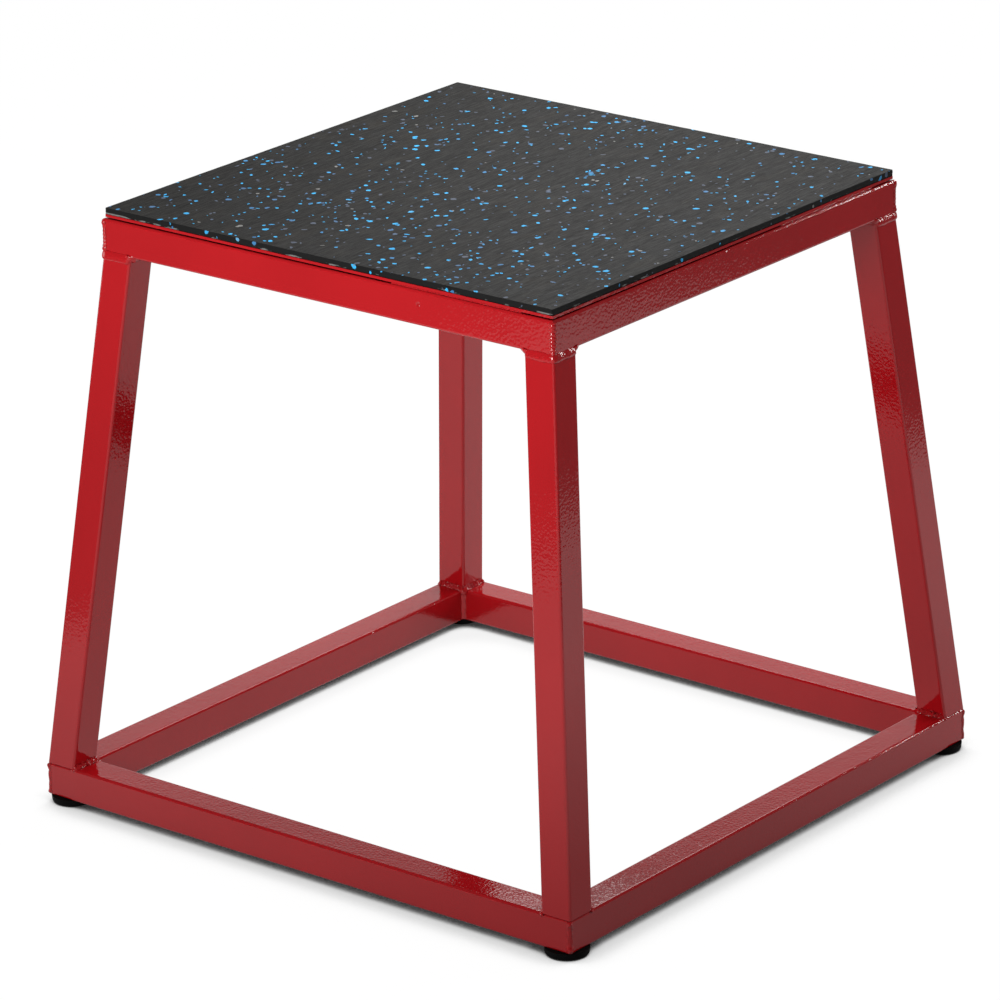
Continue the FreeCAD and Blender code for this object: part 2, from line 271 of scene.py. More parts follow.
def mat_top_rubber():
    """Split recycled rubber: dark grey, warmer in places, with fine streaks from the splitting knife."""
    material, tree, shader, place = new_material("mat_split_rubber")
    streak = noise(tree, stretched(tree, place, (1900.0, 75.0, 200.0)), 1.0, 3.0, 0.7)
    broad = noise(tree, stretched(tree, place, (260.0, 30.0, 40.0)), 1.0, 3.0, 0.6, 3.0)
    patch = noise(tree, place, 16.0, 3.0, 0.55, 6.0)
    crumb = noise(tree, place, 260.0, 2.0, 0.6, 8.0)
    grain = noise(tree, place, 1100.0, 3.0, 0.65, 12.0)
    tone = calc(tree, "ADD", remap(tree, streak, 0.3, 0.7, 0.0, 0.3), remap(tree, broad, 0.3, 0.7, 0.0, 0.22))
    tone = calc(tree, "ADD", tone, remap(tree, patch, 0.3, 0.7, 0.0, 0.2))
    tone = calc(tree, "ADD", tone, remap(tree, crumb, 0.35, 0.7, 0.0, 0.28))
    height = calc(tree, "ADD", calc(tree, "MULTIPLY", streak, 0.6), calc(tree, "MULTIPLY", grain, 0.6))
    stain = noise(tree, stretched(tree, place, (70.0, 24.0, 40.0)), 1.0, 3.0, 0.6, 16.0)
    colour = blend_colours(tree, tone, RUBBER_GREY, RUBBER_DARK)
    finish_material(tree, shader, {
        "Base Color": blend_colours(tree, remap(tree, stain, 0.5, 0.72, 0.0, 0.8), colour, RUBBER_WARM),
        "Roughness": remap(tree, streak, 0.3, 0.7, 0.46, 0.72),
        "IOR": 1.14,
        "Normal": relief(tree, height, 0.55, 0.12 * MM),
    })
    return material


def mat_cut_rubber():
    """Cut edge of the rubber sheet: black, with the crumb just showing and smears of glue low down."""
    material, tree, shader, place = new_material("mat_cut_rubber")
    crumb = noise(tree, place, 520.0, 3.0, 0.6)
    grain = noise(tree, place, 1700.0, 2.0, 0.6, 5.0)
    colour = blend_colours(tree, remap(tree, crumb, 0.42, 0.72, 0.0, 1.0), CUT_BLACK, CUT_WORN)
    height = add(tree, "ShaderNodeSeparateXYZ", {0: place}).outputs["Z"]
    low = remap(tree, height, mat_low.z + 0.5 * MM, mat_low.z + 1.4 * MM, 1.0, 0.0)
    patch = noise(tree, stretched(tree, place, (60.0, 60.0, 200.0)), 1.0, 3.0, 0.65, 11.0)
    smear = calc(tree, "MULTIPLY", low, remap(tree, patch, 0.54, 0.61, 0.0, 1.0))
    finish_material(tree, shader, {
        "Base Color": blend_colours(tree, smear, colour, GLUE_SMEAR),
        "Roughness": remap(tree, crumb, 0.3, 0.7, 0.72, 0.9),
        "IOR": 1.3,
        "Normal": relief(tree, calc(tree, "ADD", crumb, calc(tree, "MULTIPLY", grain, 0.5)), 0.5, 0.25 * MM),
    })
    return material


def fleck_rubber():
    """Coloured rubber crumbs: each has its own tone, from smeared grey to bright blue."""
    material, tree, shader, place = new_material("mat_fleck_rubber")
    tone = add(tree, "ShaderNodeAttribute", attribute_name="tone").outputs["Fac"]
    smear = noise(tree, stretched(tree, place, (900.0, 160.0, 200.0)), 1.0, 2.0, 0.6)
    dim = blend_colours(tree, remap(tree, tone, 0.2, 0.45, 0.0, 1.0), FLECK_DIM, FLECK_MID)
    blue = blend_colours(tree, remap(tree, tone, 0.38, 0.62, 0.0, 1.0), dim, FLECK_BLUE)
    grey = blend_colours(tree, remap(tree, tone, 0.96, 0.965, 0.0, 1.0), blue, FLECK_GREY)
    colour = blend_colours(tree, remap(tree, smear, 0.6, 0.85, 0.0, 0.4), grey, RUBBER_GREY)
    finish_material(tree, shader, {
        "Base Color": colour,
        "Roughness": remap(tree, smear, 0.3, 0.7, 0.5, 0.68),
        "IOR": 1.25,
        "Normal": relief(tree, smear, 0.25, 0.1 * MM),
    })
    return material


def foot_rubber():
    """Black moulded rubber with a fine spark-eroded grain and a little grey bloom."""
    material, tree, shader, place = new_material("foot_moulded_rubber")
    bloom = noise(tree, place, 70.0, 4.0, 0.6)
    grain = noise(tree, place, 1500.0, 2.0, 0.6, 2.0)
    finish_material(tree, shader, {
        "Base Color": blend_colours(tree, remap(tree, bloom, 0.45, 0.75, 0.0, 1.0), FOOT_BLACK, FOOT_BLOOM),
        "Roughness": remap(tree, bloom, 0.3, 0.7, 0.8, 0.92),
        "IOR": 1.22,
        "Normal": relief(tree, grain, 0.3, 0.08 * MM),
    })
    return material


def zinc_plate():
    """Bright zinc plating with a slightly cloudy passivated skin."""
    material, tree, shader, place = new_material("zinc_plating")
    cloud = noise(tree, place, 160.0, 4.0, 0.6)
    scratch = noise(tree, stretched(tree, place, (300.0, 300.0, 2600.0)), 1.0, 2.0, 0.5, 7.0)
    finish_material(tree, shader, {
        "Base Color": blend_colours(tree, remap(tree, cloud, 0.35, 0.7, 0.0, 1.0), ZINC, ZINC_DULL),
        "Metallic": 1.0,
        "Roughness": remap(tree, cloud, 0.3, 0.7, 0.24, 0.42),
        "Normal": relief(tree, scratch, 0.15, 0.05 * MM),
    })
    return material


def dried_glue():
    """Amber contact adhesive, brushed out and dried."""
    material, tree, shader, place = new_material("dried_adhesive")
    brush = noise(tree, stretched(tree, place, (40.0, 420.0, 200.0)), 1.0, 3.0, 0.6)
    finish_material(tree, shader, {
        "Base Color": blend_colours(tree, remap(tree, brush, 0.3, 0.7, 0.0, 1.0), GLUE_AMBER, GLUE_DARK),
        "Roughness": remap(tree, brush, 0.3, 0.7, 0.3, 0.55),
        "Normal": relief(tree, brush, 0.4, 0.2 * MM),
    })
    return material


# Pieces made with node trees

def new_tree(name, inputs):
    """Geometry tree with named number inputs, and the identifiers of these."""
    tree = bpy.data.node_groups.new(name, "GeometryNodeTree")
    tree.interface.new_socket(name="Geometry", in_out="INPUT", socket_type="NodeSocketGeometry")
    keys = {}
    for title, start in inputs.items():
        kind = "NodeSocketInt" if isinstance(start, int) else "NodeSocketFloat"
        socket = tree.interface.new_socket(name=title, in_out="INPUT", socket_type=kind)
        socket.default_value = start
        keys[title] = socket.identifier
    tree.interface.new_socket(name="Geometry", in_out="OUTPUT", socket_type="NodeSocketGeometry")
    return tree, keys, add(tree, "NodeGroupInput").outputs


def end_tree(tree, geometry, material, chosen=True):
    """Closes a tree with realized instances and a material on the faces chosen."""
    solid = add(tree, "GeometryNodeRealizeInstances", {"Geometry": geometry}).outputs["Geometry"]
    coated = add(tree, "GeometryNodeSetMaterial",
                 {"Geometry": solid, "Selection": chosen, "Material": material})
    add(tree, "NodeGroupOutput", {"Geometry": coated.outputs["Geometry"]})


def store(tree, geometry, name, value, kind="FLOAT"):
    """Geometry with a named value kept on its points."""
    made = add(tree, "GeometryNodeStoreNamedAttribute", {"Geometry": geometry, "Name": name, "Value": value},
               data_type=kind, domain="POINT")
    return made.outputs["Geometry"]


def stored(tree, name, kind="FLOAT"):
    """Named value kept on the geometry."""
    made = add(tree, "GeometryNodeInputNamedAttribute", {"Name": name}, data_type=kind)
    return socket_of(made.outputs, "Attribute")


def made_by_tree(source, tree, keys, values):
    """Plain mesh of what a tree makes of an object, which is removed."""
    bpy.context.scene.collection.objects.link(source)
    modifier = source.modifiers.new("make", "NODES")
    modifier.node_group = tree
    for title, value in values.items():
        modifier[keys[title]] = value
    graph = bpy.context.evaluated_depsgraph_get()
    mesh = bpy.data.meshes.new_from_object(source.evaluated_get(graph), preserve_all_data_layers=True,
                                           depsgraph=graph)
    bpy.data.objects.remove(source)
    return mesh


def fit(name, mesh, body, slot, *nodes):
    """Piece from a mesh, riding on a body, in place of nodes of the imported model."""
    mesh.name = name
    piece = bpy.data.objects.new(name, mesh)
    bpy.context.scene.collection.objects.link(piece)
    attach(piece, body)
    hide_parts(*nodes)
    return piece


# Weld beads

def weld_bead_tree(coat):
    """Bead along runs of points: an oval section, scalloped by the ripples of the weld pool and lumpy."""
    tree, keys, given = new_tree("weld_bead", {
        "Step": 0.45 * MM, "Ripple Pitch": 3.6 * MM, "Ripple Depth": 0.3, "Lumps": 0.3, "Grit": 0.0,
        "Flatness": 1.0, "End Rounding": 1.6 * MM, "Seed": 0.0})
    curve = add(tree, "GeometryNodeMeshToCurve", {"Mesh": given["Geometry"]}).outputs["Curve"]
    curve = add(tree, "GeometryNodeResampleCurve", {"Curve": curve, "Length": given["Step"]},
                mode="LENGTH").outputs["Curve"]
    place = add(tree, "GeometryNodeInputPosition").outputs["Position"]
    run = add(tree, "GeometryNodeSplineParameter").outputs["Length"]
    total = add(tree, "GeometryNodeSplineLength").outputs["Length"]
    closed = add(tree, "GeometryNodeInputSplineCyclic").outputs["Cyclic"]
    near = calc(tree, "MINIMUM", run, calc(tree, "SUBTRACT", total, run))
    inward = calc(tree, "SUBTRACT", 1.0, calc(tree, "DIVIDE", near, given["End Rounding"], clamp=True))
    taper = calc(tree, "SQRT", calc(tree, "SUBTRACT", 1.0, calc(tree, "MULTIPLY", inward, inward)))
    taper = calc(tree, "MAXIMUM", calc(tree, "MAXIMUM", taper, 0.15), closed)
    tangent = add(tree, "GeometryNodeInputTangent").outputs["Tangent"]
    curve = store(tree, curve, "middle", place, "FLOAT_VECTOR")
    curve = store(tree, curve, "along", tangent, "FLOAT_VECTOR")
    curve = store(tree, curve, "run", run)
    curve = store(tree, curve, "taper", taper)
    ring = add(tree, "GeometryNodeCurvePrimitiveCircle", {"Resolution": 18, "Radius": 1.0}).outputs["Curve"]
    ring = store(tree, ring, "section", place, "FLOAT_VECTOR")
    bead = add(tree, "GeometryNodeCurveToMesh", {"Curve": curve, "Profile Curve": ring, "Fill Caps": True})
    bead = bead.outputs["Mesh"]

    middle = stored(tree, "middle", "FLOAT_VECTOR")
    outward = stored(tree, "outward", "FLOAT_VECTOR")
    sideways = vector_calc(tree, "NORMALIZE",
                           vector_calc(tree, "CROSS_PRODUCT", stored(tree, "along", "FLOAT_VECTOR"), outward))
    section = add(tree, "ShaderNodeSeparateXYZ", {0: stored(tree, "section", "FLOAT_VECTOR")}).outputs
    lump = calc(tree, "SUBTRACT", noise(tree, middle, 150.0, 2.0, 0.5, given["Seed"]), 0.5)
    lump = calc(tree, "MULTIPLY", lump, calc(tree, "MULTIPLY", given["Lumps"], 2.0))
    wander = calc(tree, "MULTIPLY", noise(tree, middle, 90.0, 1.0, 0.5, given["Seed"]), 1.6)
    bow = calc(tree, "MULTIPLY", calc(tree, "MULTIPLY", section["X"], section["X"]), 0.8)
    phase = calc(tree, "DIVIDE", stored(tree, "run"), given["Ripple Pitch"])
    phase = calc(tree, "ADD", calc(tree, "ADD", phase, wander), bow)
    tooth = calc(tree, "ABSOLUTE", calc(tree, "SINE", calc(tree, "MULTIPLY", phase, math.pi)))
    ripple = calc(tree, "SUBTRACT", calc(tree, "POWER", tooth, 0.6), 0.7)
    ripple = calc(tree, "MULTIPLY", ripple, given["Ripple Depth"])
    grit = calc(tree, "SUBTRACT", noise(tree, place, 520.0, 1.0, 0.5, given["Seed"]), 0.5)
    grit = calc(tree, "MULTIPLY", grit, calc(tree, "MULTIPLY", given["Grit"], 2.0))
    swell = calc(tree, "ADD", calc(tree, "ADD", 1.0, grit), calc(tree, "ADD", ripple, lump))
    spread = calc(tree, "ADD", 1.0, calc(tree, "MULTIPLY", calc(tree, "ADD", ripple, lump), 0.7))
    taper = stored(tree, "taper")
    across = calc(tree, "MULTIPLY", calc(tree, "MULTIPLY", section["X"], stored(tree, "half_width")),
                  calc(tree, "MULTIPLY", spread, taper))
    crown = calc(tree, "POWER", calc(tree, "ABSOLUTE", section["Y"]), given["Flatness"])
    crown = calc(tree, "MULTIPLY", crown, calc(tree, "SIGN", section["Y"]))
    above = calc(tree, "MULTIPLY", calc(tree, "MULTIPLY", crown, stored(tree, "rise")),
                 calc(tree, "MULTIPLY", swell, taper))
    shaped = vector_calc(tree, "ADD", middle, scaled(tree, sideways, across))
    shaped = vector_calc(tree, "ADD", shaped, scaled(tree, outward, above))
    bead = add(tree, "GeometryNodeSetPosition", {"Geometry": bead, "Position": shaped}).outputs["Geometry"]
    bead = add(tree, "GeometryNodeSetShadeSmooth", {"Geometry": bead, "Shade Smooth": True})
    bead = bead.outputs["Geometry"]
    for name in ("middle", "along", "run", "taper", "section", "outward", "half_width", "rise"):
        bead = add(tree, "GeometryNodeRemoveAttribute", {"Geometry": bead, "Name": name}).outputs["Geometry"]
    end_tree(tree, bead, coat)
    return tree, keys


def weld_path(runs, turn):
    """Object of runs of bead points, turned about Z. A run is its points and whether it is closed, and a
    point is its place, the way the bead faces, half its width and how far it rises."""
    points, edges = [], []
    for run, closed in runs:
        first = len(points)
        points += run
        edges += [(i, i + 1) for i in range(first, len(points) - 1)]
        if closed:
            edges.append((len(points) - 1, first))
    mesh = bpy.data.meshes.new("weld_path")
    mesh.from_pydata([turn @ Vector(point[0]) for point in points], edges, [])
    facing = mesh.attributes.new("outward", "FLOAT_VECTOR", "POINT")
    for value, point in zip(facing.data, points):
        value.vector = turn @ Vector(point[1]).normalized()
    for name, column in (("half_width", 2), ("rise", 3)):
        sizes = mesh.attributes.new(name, "FLOAT", "POINT")
        for value, point in zip(sizes.data, points):
            value.value = point[column]
    return bpy.data.objects.new("weld_path", mesh)


def corner_runs(half, bottom, width, knob, draw):
    """Upright bead on the outer mitre of the front right corner and the inner fillet. The bead has half a
    width in metres and rises at its ends by a knob in mm."""
    groove = half - CORNER_SINK
    bottom, length = bottom + CORNER_END_ROOM, TUBE - 2 * CORNER_END_ROOM
    shares = (0.0, 0.1, 0.25, 0.5, 0.75, 0.9, 1.0)
    extra = (0.8, 1.0, 0.1, 0.0, 0.1, 1.0, 0.8)
    bead = []
    for share, more in zip(shares, extra):
        height = bottom + share * length
        size = 1 + draw.uniform(-0.06, 0.06)
        rise = (CORNER_RISE + more * knob) * size * MM
        bead.append(((groove, -groove, height), (1, -1, 0), width * size, rise))
    inner = half - TUBE
    fillet = []
    for share in (0.0, 0.35, 0.65, 1.0):
        size = 1 + draw.uniform(-0.1, 0.1)
        place = (inner, -inner, bottom + share * length)
        fillet.append((place, (-1, 1, 0), *(side * size * MM for side in CORNER_FILLET)))
    return [(bead, False), (fillet, False)]


def leg_runs(corner, height, up, draw):
    """Bead round one end of the front right leg: lips on its outer faces, fillets on its inner ones.
    up is 1 where the leg goes up from the joint and -1 where it goes down."""
    near, far = corner - TUBE, corner
    if up < 0:
        # dressed flush with the rail, with a low toe on the leg
        level, edge, tilt = height - 1.3 * MM, far + 0.05 * MM, 0.22
        outer_size, inner_size = (3.3, 1.25), (4.6, 3.3)
    else:
        # sunk in the groove between the leg and the round edge of the rail
        level, edge, tilt = height - 0.3 * MM, far - 2.4 * MM, 0.5
        outer_size, inner_size = (1.6, 0.7), (4.2, 3.0)
    # kinds of place: how far it is at the outer level, half its width and its rise in mm
    lip = (1.0, *outer_size)
    knob = (1.0, outer_size[0], outer_size[1] + 0.5)
    fillet = (0.0, *inner_size)
    between = [0.5 * (o + i) for o, i in zip(outer_size, inner_size)]
    bend = (0.5, 0.75 * between[0], 0.6 * between[1])
    round_off = 0.7 * MM
    stops = [((near + share * TUBE, -edge), (0, -1, tilt), lip) for share in (0.1, 0.37, 0.63, 0.88)]
    stops += [((edge - round_off, -edge + round_off), (1, -1, 1.4 * tilt), knob)]
    stops += [((edge, -far + share * TUBE), (1, 0, tilt), lip) for share in (0.1, 0.37, 0.63, 0.9)]
    stops += [((far - round_off, -near - round_off), (1, 1, up), bend)]
    stops += [((far - share * TUBE, -near), (0, 1, up), fillet) for share in (0.12, 0.37, 0.63, 0.9)]
    seam = len(stops)
    stops += [((near, -near), (-1, 1, 1.4 * up), fillet)]
    stops += [((near, -near - share * TUBE), (-1, 0, up), fillet) for share in (0.1, 0.37, 0.63, 0.88)]
    stops += [((near + round_off, -far + round_off), (-1, -1, up), bend)]
    loop = []
    for (x, y), facing, (outer, width, rise) in stops:
        size = 1 + draw.uniform(-0.1, 0.1)
        place = (x, y, outer * level + (1 - outer) * height)
        loop.append((place, facing, width * size * MM, rise * size * MM))
    # the seam of the loop lies at the inner corner
    return [(loop[seam:] + loop[:seam], True)]


def stitch_runs():
    """Stitch between each deck rail and the plate, near the rail's right end, and the tack on the brace."""
    low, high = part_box("deck_tack_welds")
    level = (low.z + high.z) / 2
    reach = DECK_HALF - STITCH_END
    runs = []
    for quarter in range(4):
        turn = Matrix.Rotation(math.pi / 2 * quarter, 3, "Z")
        run = []
        for x in (reach - STITCH_LENGTH, reach - STITCH_MIDDLE, reach):
            place = turn @ Vector((x, -DECK_HALF + STITCH_INSET, level))
            run.append((place, turn @ Vector((0, -1, 0)), *STITCH_SIZE))
        runs.append((run, False))
    tack = [((0, y, level), (0, 0, 1), *TACK_SIZE) for y in (-TACK_HALF, 0, TACK_HALF)]
    return runs + [(tack, False)]


def brace_runs():
    """Upright fillets where the brace meets the front and back deck rails."""
    end_room = 1 * MM
    bottom, length = brace_low.z + end_room, TUBE - 2 * end_room
    runs = []
    for x in (brace_low.x, brace_high.x):
        for y in (brace_low.y, brace_high.y):
            facing = (math.copysign(1, x), -math.copysign(1, y), 0)
            run = [((x, y, bottom + share * length), facing, *(side * MM for side in BRACE_FILLET))
                   for share in (0.0, 0.5, 1.0)]
            runs.append((run, False))
    return runs


def lay_welds(coat):
    """All weld beads of the frame, each in place of its plain solid."""
    tree, keys = weld_bead_tree(coat)
    draw = random.Random(41)
    still = Matrix.Identity(3)

    def lay(name, runs, turn, seed, **values):
        settings = {"Seed": seed}
        settings.update({title.replace("_", " "): value for title, value in values.items()})
        mesh = made_by_tree(weld_path(runs, turn), tree, keys, settings)
        fit("weld_" + name, mesh, "frame", "powder_coat", name)

    for quarter, corner in enumerate(QUARTERS):
        turn = Matrix.Rotation(math.pi / 2 * quarter, 3, "Z")
        lay("deck_corner_weld_" + corner, corner_runs(DECK_HALF, deck_low.z, 2.6 * MM, 0.7, draw), turn,
            1.0 + quarter, Ripple_Depth=CORNER_RIPPLES[quarter], Lumps=0.12, Ripple_Pitch=2.8 * MM)
        lay("base_corner_weld_" + corner, corner_runs(BASE_HALF, base_low.z, 2.3 * MM, 0.9, draw), turn,
            11.0 + quarter, Ripple_Depth=0.3, Lumps=0.4, Ripple_Pitch=9.0 * MM)
        lay("leg_top_weld_" + corner, leg_runs(DECK_HALF, deck_low.z, -1, draw), turn, 21.0 + quarter,
            Ripple_Depth=0.10, Lumps=0.25, Flatness=0.6)
        lay("leg_base_weld_" + corner, leg_runs(BASE_HALF, base_high.z, 1, draw), turn, 31.0 + quarter,
            Ripple_Depth=0.3, Lumps=0.35, Grit=0.9, Ripple_Pitch=2.8 * MM)
    lay("deck_tack_welds", stitch_runs(), still, 43.0, Step=0.7 * MM)
    lay("brace_welds", brace_runs(), still, 47.0)


# Rubber mat

def mat_outline(draw):
    """Points round the mat, hand cut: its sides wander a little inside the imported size."""
    half = mat_high.x
    radius = 1.0 * MM
    step = 5 * MM
    points = []
    for quarter in range(4):
        turn = Matrix.Rotation(math.pi / 2 * quarter, 3, "Z")
        count = int((2 * half - 2 * radius) / step)
        for index in range(count + 1):
            x = -half + radius + index * (2 * half - 2 * radius) / count
            wander = 0.0 if index in (0, count) else draw.uniform(0.0, 0.16) * MM
            points.append(turn @ Vector((x, -half + wander, 0)))
        for angle in (-60, -30):
            swing = math.radians(angle)
            points.append(turn @ Vector((half - radius + radius * math.cos(swing),
                                         -half + radius + radius * math.sin(swing), 0)))
    return points


def mat_sheet(top, cut):
    """Object of the bare mat: flat faces above and below and a cut wall with a small worn edge."""
    outline = mat_outline(random.Random(7))
    wall_top = mat_high.z - 0.45 * MM
    face = mat_high.z - 0.10 * MM
    levels = ((mat_low.z, 0.0), (mat_low.z + 1.5 * MM, 0.0), (wall_top, 0.0), (face - 0.06 * MM, 0.10 * MM),
              (face, 0.35 * MM))
    count = len(outline)
    points, faces = [], []
    for level, inset in levels:
        for point in outline:
            shrink = 1 - inset / mat_high.x
            points.append((point.x * shrink, point.y * shrink, level))
    for ring in range(len(levels) - 1):
        for index in range(count):
            after = (index + 1) % count
            faces.append((ring * count + index, ring * count + after,
                          (ring + 1) * count + after, (ring + 1) * count + index))
    walls = len(faces)
    faces.append(tuple(range((len(levels) - 1) * count, len(levels) * count)))
    faces.append(tuple(reversed(range(count))))
    mesh = bpy.data.meshes.new("mat_sheet")
    mesh.from_pydata(points, [], faces)
    mesh.materials.append(top)
    mesh.materials.append(cut)
    for index, polygon in enumerate(mesh.polygons):
        polygon.material_index = 0 if index == walls else 1
    return bpy.data.objects.new("mat_sheet", mesh)


def fleck_tree(fleck):
    """Mat with crumbs pressed into its face and its cut walls."""
    tree, keys, given = new_tree("mat_flecks", {
        "Face Density": 7600.0, "Wall Density": 9000.0, "Shortest": 0.75 * MM, "Longest": 2.4 * MM,
        "Thickness": 0.12 * MM, "Reach": 0.2, "Wall Low": 0.0, "Wall High": 0.0, "Seed": 5})
    normal = add(tree, "GeometryNodeInputNormal").outputs["Normal"]
    upward = add(tree, "ShaderNodeSeparateXYZ", {0: normal}).outputs["Z"]
    facing_up = calc(tree, "GREATER_THAN", upward, 0.9)
    facing_out = calc(tree, "LESS_THAN", calc(tree, "ABSOLUTE", upward), 0.1)
    place = add(tree, "GeometryNodeInputPosition").outputs["Position"]
    crowd = remap(tree, noise(tree, place, 26.0, 2.0, 0.5, 2.0), 0.32, 0.66, 0.45, 1.5)
    groups = []
    for chosen, density, offset in ((facing_up, given["Face Density"], 0),
                                    (facing_out, given["Wall Density"], 50)):
        seed = calc(tree, "ADD", given["Seed"], float(offset))
        scatter = add(tree, "GeometryNodeDistributePointsOnFaces",
                      {"Mesh": given["Geometry"], "Selection": chosen,
                       "Density": calc(tree, "MULTIPLY", crowd, density), "Seed": seed})
        points = store(tree, scatter.outputs["Points"], "facing", scatter.outputs["Normal"], "FLOAT_VECTOR")

        def chance(low, high, shift):
            made = add(tree, "FunctionNodeRandomValue", {"Min": low, "Max": high, "Seed": offset + shift},
                       data_type="FLOAT")
            return socket_of(made.outputs, "Value")

        points = store(tree, points, "tone", chance(0.001, 1.0, 1))
        # most crumbs are small, a few are long
        share = calc(tree, "POWER", chance(0.0, 1.0, 2), 1.9)
        span = calc(tree, "SUBTRACT", given["Longest"], given["Shortest"])
        length = calc(tree, "ADD", given["Shortest"], calc(tree, "MULTIPLY", share, span))
        size = add(tree, "ShaderNodeCombineXYZ", {
            "X": length, "Y": calc(tree, "MULTIPLY", length, chance(0.32, 1.0, 3)), "Z": given["Thickness"]})
        spin = add(tree, "ShaderNodeCombineXYZ", {"Z": chance(0.0, 2 * math.pi, 4)}).outputs["Vector"]
        spin = add(tree, "FunctionNodeEulerToRotation", {"Euler": spin}).outputs["Rotation"]
        turned = add(tree, "FunctionNodeRotateRotation",
                     {"Rotation": scatter.outputs["Rotation"], "Rotate By": spin}, rotation_space="LOCAL")
        crumb = add(tree, "GeometryNodeMeshCylinder", {"Vertices": 9, "Radius": 1.0, "Depth": 1.0},
                    fill_type="NGON")
        groups.append(add(tree, "GeometryNodeInstanceOnPoints", {
            "Points": points, "Instance": crumb.outputs["Mesh"], "Rotation": turned.outputs["Rotation"],
            "Scale": size.outputs["Vector"]}).outputs["Instances"])
    joined = add(tree, "GeometryNodeJoinGeometry")
    for group in groups:
        tree.links.new(group, joined.inputs["Geometry"])
    crumbs = add(tree, "GeometryNodeRealizeInstances", {"Geometry": joined.outputs["Geometry"]})
    crumbs = crumbs.outputs["Geometry"]

    # each outline is pulled out of round in its own plane, then cut off at the mat's edges
    ragged = add(tree, "ShaderNodeTexNoise", {"Vector": place, "Scale": 620.0, "Detail": 1.0})
    pull = scaled(tree, vector_calc(tree, "SUBTRACT", ragged.outputs["Color"], (0.5, 0.5, 0.5)), 2.2 * MM)
    facing = stored(tree, "facing", "FLOAT_VECTOR")
    rise = add(tree, "ShaderNodeVectorMath", {0: pull, 1: facing}, operation="DOT_PRODUCT").outputs["Value"]
    pull = vector_calc(tree, "SUBTRACT", pull, scaled(tree, facing, rise))
    pulled = add(tree, "ShaderNodeSeparateXYZ", {0: vector_calc(tree, "ADD", place, pull)}).outputs
    inside = {}
    for axis, low, high in (("X", calc(tree, "MULTIPLY", given["Reach"], -1.0), given["Reach"]),
                            ("Y", calc(tree, "MULTIPLY", given["Reach"], -1.0), given["Reach"]),
                            ("Z", given["Wall Low"], given["Wall High"])):
        inside[axis] = calc(tree, "MINIMUM", calc(tree, "MAXIMUM", pulled[axis], low), high)
    cropped = add(tree, "ShaderNodeCombineXYZ", inside).outputs["Vector"]
    crumbs = add(tree, "GeometryNodeSetPosition", {"Geometry": crumbs, "Position": cropped})
    crumbs = add(tree, "GeometryNodeRemoveAttribute",
                 {"Geometry": crumbs.outputs["Geometry"], "Name": "facing"}).outputs["Geometry"]
    whole = add(tree, "GeometryNodeJoinGeometry")
    tree.links.new(crumbs, whole.inputs["Geometry"])
    tree.links.new(given["Geometry"], whole.inputs["Geometry"])
    # only crumbs have a tone
    end_tree(tree, whole.outputs["Geometry"], fleck, calc(tree, "GREATER_THAN", stored(tree, "tone"), 0.0))
    return tree, keys


def lay_mat():
    """Flecked rubber mat in place of the plain sheet."""
    tree, keys = fleck_tree(fleck_rubber())
    mesh = made_by_tree(mat_sheet(mat_top_rubber(), mat_cut_rubber()), tree, keys, {
        "Reach": mat_high.x - 0.02 * MM, "Wall Low": mat_low.z + 0.05 * MM,
        "Wall High": mat_high.z - 0.02 * MM})
    fit("flecked_mat", mesh, "frame", "mat_rubber", "rubber_mat")


# Threaded studs of the feet

def thread_tree(zinc):
    """Stud with a thread wound round its shank."""
    tree, keys, given = new_tree("stud_thread", {
        "Turns": 17.0, "Radius": 3.62 * MM, "Ridge": 0.42 * MM, "Height": 21 * MM, "Start": 6 * MM,
        "X": 0.0, "Y": 0.0})
    coil = add(tree, "GeometryNodeCurveSpiral", {
        "Resolution": 20, "Rotations": given["Turns"], "Start Radius": given["Radius"],
        "End Radius": given["Radius"], "Height": given["Height"]}).outputs["Curve"]
    ridge = add(tree, "GeometryNodeCurvePrimitiveCircle", {"Resolution": 4, "Radius": given["Ridge"]})
    wound = add(tree, "GeometryNodeCurveToMesh", {
        "Curve": coil, "Profile Curve": ridge.outputs["Curve"], "Fill Caps": True}).outputs["Mesh"]
    spot = add(tree, "ShaderNodeCombineXYZ", {"X": given["X"], "Y": given["Y"], "Z": given["Start"]})
    wound = add(tree, "GeometryNodeTransform", {"Geometry": wound, "Translation": spot.outputs["Vector"]})
    whole = add(tree, "GeometryNodeJoinGeometry")
    tree.links.new(wound.outputs["Geometry"], whole.inputs["Geometry"])
    tree.links.new(given["Geometry"], whole.inputs["Geometry"])
    end_tree(tree, whole.outputs["Geometry"], zinc)
    return tree, keys


def turned_mesh(name, outline, middle, sides):
    """Object of a body turned about an upright axis, from (radius, height) points that start and end on the
    axis."""
    points = [(middle.x, middle.y, outline[0][1])]
    for radius, height in outline[1:-1]:
        for side in range(sides):
            angle = 2 * math.pi * side / sides
            points.append((middle.x + radius * math.cos(angle), middle.y + radius * math.sin(angle), height))
    points.append((middle.x, middle.y, outline[-1][1]))
    faces = []
    rings = len(outline) - 2
    for side in range(sides):
        after = (side + 1) % sides
        faces.append((0, 1 + after, 1 + side))
        for ring in range(rings - 1):
            low, high = 1 + ring * sides, 1 + (ring + 1) * sides
            faces.append((low + side, low + after, high + after, high + side))
        last = 1 + (rings - 1) * sides
        faces.append((last + side, last + after, len(points) - 1))
    mesh = bpy.data.meshes.new(name)
    mesh.from_pydata(points, [], faces)
    return bpy.data.objects.new(name, mesh)


